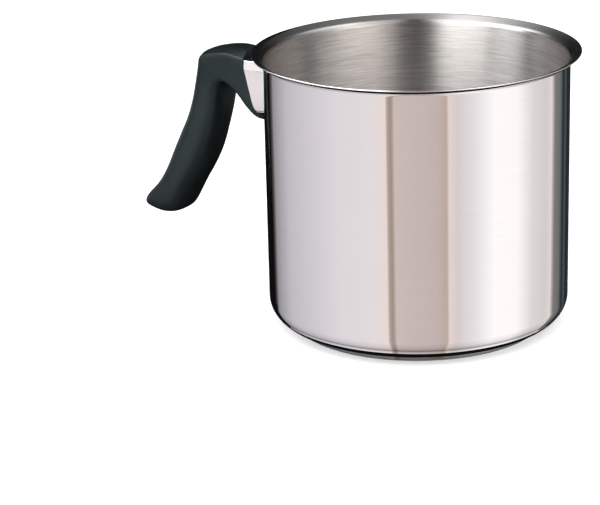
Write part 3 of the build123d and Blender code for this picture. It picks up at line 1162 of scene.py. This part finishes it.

# %% [markdown]
# Close to the pan, black cards paint dark reflections and shade. One darkens the wall's
# edge at the handle's side. Thin rings just under the flare and just over the capsule paint
# the dark reflection a real pan makes of itself there, and a grey ring paints shade at the
# foot. A sheet on the wall paints shade on the side of the grip that faces it.

# %% Rings and edges
edge_columns = mirror_columns(-92, -68, NEAR_RUNS + (400 * MM,), 20 * MM)
card("edge_by_handle", edge_columns, painted_dark_reflection)
round_card("ring_under_flare", [(71.3 * MM, 126.9 * MM), (75.65 * MM, 129.3 * MM)], painted_dark_reflection)
round_card("ring_over_capsule", [(61.0 * MM, 3.0 * MM), (68.3 * MM, 3.0 * MM)], painted_dark_reflection)
foot_shade = plain_glow("foot_shade", (0.20, 0.20, 0.21))
round_card("ring_at_foot", [(56.0 * MM, 0.3 * MM), (60.6 * MM, 0.3 * MM)], foot_shade)
sheet_profile = [(71.4 * MM, 122 * MM), (71.4 * MM, 4 * MM)]
round_card("sheet_by_handle", sheet_profile, painted_dark_reflection, -136, -40)

# %% [markdown]
# The table beside the handle gets cards too: a soft shade for the grip's dark side, a cool
# card for its near side, and one with a brown stripe for the ferrule and its lower edge.

# %% Cards on the table
SHADE_SOLID = 0.6


def fading_shade():
    """Painted shade: black, solid in its middle and then fading to nothing."""
    material, tree, place = card_paint("under_handle_shade")
    away = tree.nodes.new("ShaderNodeVectorMath")
    away.operation = "DISTANCE"
    away.inputs[1].default_value = (0.5, 0.5, 0)
    tree.links.new(place, away.inputs[0])
    dark_emission = tree.nodes.new("ShaderNodeEmission")
    dark_emission.inputs["Color"].default_value = BLACK + (1,)
    show(tree, dark_emission, colour_ramp(tree, away.outputs["Value"], ((SHADE_SOLID / 2, 0), (0.5, 1))))
    return material


def floor_card(name, corners, level, material):
    """A card on the floor: two corners of its near edge, then two of its far edge."""
    near_left, near_right, far_right, far_left = [(x, y, level) for x, y in corners]
    card(name, [[far_left, near_left], [far_right, near_right]], material)


shade_corners = [(-0.40, -0.30), (0.16, -0.30), (0.16, 0.42), (-0.40, 0.42)]
floor_card("shade_under_handle", shade_corners, 0.2 * MM, fading_shade())
cool_corners = [(-0.49, -0.43), (-0.390, -0.43), (-0.162, -0.10), (-0.235, -0.10)]
cool_stops = (
    (0.0, (0.22, 0.31, 0.38)), (0.3, (0.40, 0.55, 0.66)), (0.6, (0.82, 1.04, 1.18)),
    (1.0, (1.25, 1.46, 1.56)),
)
cool_fall = ((0.0, 0.72), (0.4, 0.85), (0.7, 1.15))
floor_card("cool_floor_card", cool_corners, 0.3 * MM, glow("cool_glow", cool_stops, cool_fall))
ferrule_shades = (
    (0.0, (1.0, 0.97, 0.97)), (0.10, (1.0, 0.97, 0.97)), (0.15, (0.10, 0.07, 0.05)),
    (0.50, (0.12, 0.08, 0.06)), (0.56, (0.80, 0.77, 0.78)), (0.72, (0.90, 0.86, 0.87)),
    (0.86, (1.03, 0.96, 0.97)),
)
ferrule_corners = [(-0.390, -0.43), (-0.28, -0.43), (-0.145, -0.10), (-0.190, -0.10)]
ferrule_glow = glow("ferrule_card_glow", ((0, 1), (1, 1)), ferrule_shades)
floor_card("ferrule_floor_card", ferrule_corners, 0.35 * MM, ferrule_glow)

# %% [markdown]
# Two small cards hang over the handle: one for the ferrule's bevelled shoulder and a bright
# one for the crest of the handle's roof. A black card paints shade on the roof, where the
# strips over the flare would light it.

# %% Cards over the handle
def small_card(name, centre, facing, size, material):
    """A square card round centre whose front looks towards facing."""
    front = Vector(facing).normalized()
    across = front.cross(UP).normalized() * size / 2
    upwards = across.cross(front)
    corner = Vector(centre) - across - upwards
    left = [corner, corner + 2 * upwards]
    card(name, [left, [point + 2 * across for point in left]], material)


pink = plain_glow("shoulder_glow", (1.0, 0.94, 0.95))
small_card("card_for_shoulder", (-0.117, -0.074, 0.150), (0.467, 0.795, -0.389), 0.075, pink)
bright = plain_glow("crest_glow", (5.0, 5.2, 5.2))
small_card("card_for_crest", (-0.158, -0.050, 0.250), (0.467, 0.25, -0.84), 0.09, bright)
roof_shade_corners = [(-0.20, -0.03), (-0.20, 0.045), (-0.088, 0.045)]
roof_shade_columns = [[(x, y, height) for height in (0.300, 0.110)] for x, y in roof_shade_corners]
card("shade_over_handle", roof_shade_columns, painted_dark_reflection)

# %% [markdown]
# Mirrored light sees a card in place of the table. It is even and pale, apart from painted
# shade on one side of the handle, where a pale table would wash out the black.

# %% The table as the steel sees it
floor_stops = [(-180, 0.9), (-130, 0.9), (-105, 0.04), (-62, 0.04), (-45, 0.9), (180, 0.9)]
floor_glow = glow("floor_glow", tinted(floor_stops, COOL, NEUTRAL))
round_card("mirrored_floor", [(0.05, 0.1 * MM), (2.7, 0.1 * MM)], floor_glow)

bpy.context.scene.view_settings.view_transform = "Standard"
